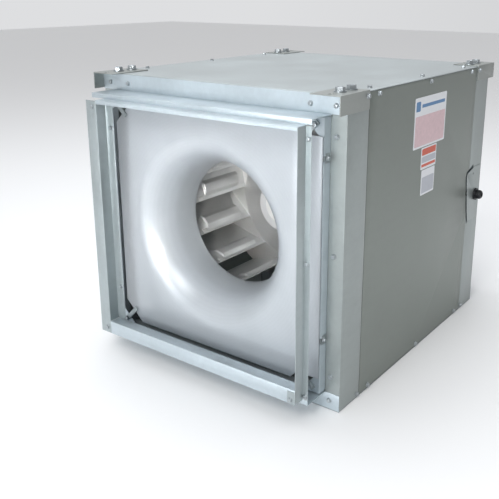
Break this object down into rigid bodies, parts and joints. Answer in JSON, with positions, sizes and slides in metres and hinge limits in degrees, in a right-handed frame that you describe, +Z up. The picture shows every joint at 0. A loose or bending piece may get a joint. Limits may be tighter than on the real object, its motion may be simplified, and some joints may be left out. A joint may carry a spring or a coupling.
{
  "type": "inline duct fan",
  "caption": "Square galvanised in-line duct fan with a spun inlet bell, a backward-inclined aluminium wheel on a motor shaft, duct collars and lift-off side panels.",
  "frame": {"origin": "the middle of the underside of the cabinet", "axes": "+Z up, air flows along +Y from the inlet at -Y, +X towards the side with the cord grip"},
  "size_m": [0.6364, 0.8474, 0.621],
  "materials": {
    "galvanised": "satin zinc-coated steel sheet",
    "galvanised_front": "satin zinc-coated steel sheet, brighter folded faces",
    "galvanised_side": "satin zinc-coated steel sheet",
    "bell_grey": "smooth satin coated spun steel",
    "wheel_aluminium": "satin mill finish",
    "zinc_hardware": "bright zinc plate",
    "motor_paint": "semi-gloss enamel",
    "steel": "ground steel",
    "copper_varnish": "varnished winding and lamination",
    "black_plastic": "moulded nylon",
    "rubber_black": "moulded rubber",
    "label_white": "printed film, blank"
  },
  "bodies": {
    "cabinet": {"bottom_panel": "galvanised", "top_panel": "galvanised", "post_front_right": "galvanised_side", "post_front_left": "galvanised_side", "post_rear_right": "galvanised_side", "post_rear_left": "galvanised_side", "rail_front_top": "galvanised_front", "rail_front_bottom": "galvanised_front", "rail_rear_top": "galvanised_front", "rail_rear_bottom": "galvanised_front", "side_rails": "galvanised", "bracket_front_right": "galvanised", "bracket_front_left": "galvanised", "bracket_rear_right": "galvanised", "bracket_rear_left": "galvanised", "bracket_bolts": "zinc_hardware", "bracket_washers": "zinc_hardware", "frame_screws": "zinc_hardware", "inlet_frame": "galvanised_front", "inlet_venturi": "bell_grey", "venturi_clips": "zinc_hardware", "venturi_bolts": "zinc_hardware", "inlet_collar_top": "galvanised_front", "inlet_collar_bottom": "galvanised_front", "inlet_collar_left": "galvanised_side", "inlet_collar_right": "galvanised_side", "outlet_frame": "galvanised_front", "outlet_collar_top": "galvanised_front", "outlet_collar_bottom": "galvanised_front", "outlet_collar_left": "galvanised_side", "outlet_collar_right": "galvanised_side", "collar_screws": "zinc_hardware", "wiring_plate": "galvanised_side", "cord_grip_body": "black_plastic", "cord_grip_nut": "black_plastic", "cord_grip_seal": "rubber_black", "floor_channels": "galvanised", "isolators": "rubber_black", "motor_pedestal": "galvanised", "motor_base": "motor_paint", "motor_casing": "motor_paint", "motor_stator": "copper_varnish", "motor_front_bell": "motor_paint", "motor_rear_bell": "motor_paint", "bearing_outer_rings": "steel", "motor_bolts": "zinc_hardware"},
    "wheel": {"wheel_backplate": "wheel_aluminium", "wheel_shroud": "wheel_aluminium", "wheel_blades": "wheel_aluminium", "blade_rivets": "zinc_hardware", "wheel_hub": "wheel_aluminium", "hub_set_screws": "steel", "motor_shaft": "steel", "motor_rotor": "steel", "bearing_inner_rings": "steel"},
    "right_panel": {"right_access_panel": "galvanised_side", "right_panel_screws": "zinc_hardware", "label_plates": "label_white"},
    "left_panel": {"left_access_panel": "galvanised_side", "left_panel_screws": "zinc_hardware"}
  },
  "joints": [
    {"name": "wheel_spin", "type": "hinge", "parent": "cabinet", "child": "wheel", "pos_m": [0, -0.1, 0.305], "axis": [0, 1, 0], "continuous": true},
    {"name": "right_panel_pull", "type": "slide", "parent": "cabinet", "child": "right_panel", "axis": [1, 0, 0], "range_m": [0, 0.15]},
    {"name": "left_panel_pull", "type": "slide", "parent": "cabinet", "child": "left_panel", "axis": [-1, 0, 0], "range_m": [0, 0.15]}
  ]
}
